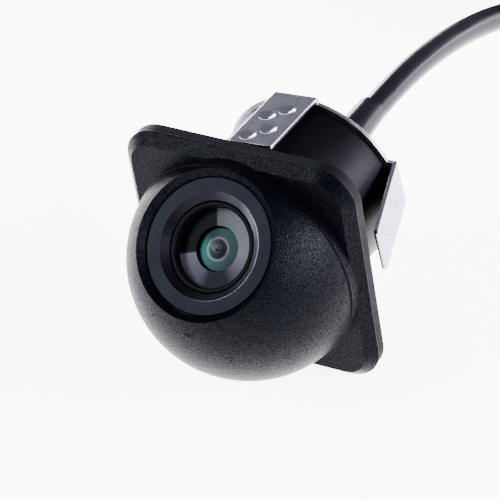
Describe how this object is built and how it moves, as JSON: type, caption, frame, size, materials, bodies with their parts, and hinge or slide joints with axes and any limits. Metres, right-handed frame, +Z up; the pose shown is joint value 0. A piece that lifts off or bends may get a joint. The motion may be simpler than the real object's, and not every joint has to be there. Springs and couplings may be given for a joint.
{
  "type": "backup camera",
  "caption": "Flush-mount backup camera: tilted lens in a black dome on a square flange, round barrel with a four-leg steel spring clip, and a cable with a plug.",
  "frame": {"origin": "on the surface that the flange's lower edge stands on, midway across the camera and midway along its barrel axis", "axes": "+X to the right for someone who faces the lens; +Y along the barrel axis towards the cable; +Z up, the side that the lens is tilted to"},
  "size_m": [0.0433, 0.1233, 0.028],
  "materials": {
    "housing": "fine textured",
    "gasket": "matte",
    "barrel": "satin",
    "seal": "matte",
    "steel": "satin",
    "screw": "satin",
    "bezel": "satin",
    "lens_metal": "black anodised",
    "glass": "coated",
    "holder": "satin",
    "filter": "coated",
    "board": "solder resist",
    "chip": "matte",
    "ribbon": "polyimide film",
    "connector": "satin",
    "capacitor": "matte",
    "pin_metal": "plated",
    "wire": "satin",
    "cable_rubber": "satin",
    "cable": "glossy",
    "tie": "satin",
    "plug": "satin"
  },
  "bodies": {
    "camera": {"front_shell": "housing", "flange_gasket": "gasket", "rear_barrel": "barrel", "barrel_oring": "seal", "clip_plate": "steel", "clip_screws": "screw", "bezel_ring": "bezel", "bezel_oring": "seal", "lens_barrel": "lens_metal", "lens_front_element": "glass", "lens_second_element": "glass", "lens_spacer": "lens_metal", "aperture_stop": "lens_metal", "lens_third_element": "glass", "lens_rear_element": "glass", "lens_lock_ring": "lens_metal", "lens_holder": "holder", "ir_filter": "filter", "holder_screws": "screw", "sensor_board": "board", "image_sensor": "chip", "sensor_glass": "filter", "board_ribbon": "ribbon", "ribbon_connector": "connector", "main_board": "board", "image_processor": "chip", "board_capacitors": "capacitor", "clock_crystal": "steel", "board_standoffs": "pin_metal", "board_screws": "screw", "cable_header": "connector", "inner_wires": "wire", "strain_relief": "cable_rubber", "camera_cable": "cable", "cable_coil": "cable", "coil_tie": "tie", "plug_overmold": "cable_rubber", "plug_insert": "plug", "plug_pins": "pin_metal", "plug_seal": "seal"},
    "leg_right": {"spring_leg_right": "steel"},
    "leg_bottom": {"spring_leg_bottom": "steel"},
    "leg_left": {"spring_leg_left": "steel"},
    "leg_top": {"spring_leg_top": "steel"},
    "plug_nut": {"plug_nut": "plug"}
  },
  "joints": [
    {"name": "leg_right_flex", "type": "hinge", "parent": "camera", "child": "leg_right", "pos_m": [0.01069, 0.01342, 0.01609], "axis": [0.0785, 0, -0.9969], "range_deg": [-2, 16.5], "stiffness_Nm_per_rad": 0.02},
    {"name": "leg_bottom_flex", "type": "hinge", "parent": "camera", "child": "leg_bottom", "pos_m": [0.00085, 0.01342, 0.00321], "axis": [-0.9969, 0, -0.0785], "range_deg": [-2, 11], "stiffness_Nm_per_rad": 0.02},
    {"name": "leg_left_flex", "type": "hinge", "parent": "camera", "child": "leg_left", "pos_m": [-0.01079, 0.01342, 0.01315], "axis": [-0.0785, 0, 0.9969], "range_deg": [-2, 11], "stiffness_Nm_per_rad": 0.02},
    {"name": "leg_top_flex", "type": "hinge", "parent": "camera", "child": "leg_top", "pos_m": [-0.00085, 0.01342, 0.02479], "axis": [0.9969, 0, 0.0785], "range_deg": [-2, 8], "stiffness_Nm_per_rad": 0.02},
    {"name": "plug_nut_turn", "type": "hinge", "parent": "camera", "child": "plug_nut", "pos_m": [0.00173, 0.07174, 0.0099], "axis": [0.9877, -0.1564, 0], "continuous": true}
  ]
}
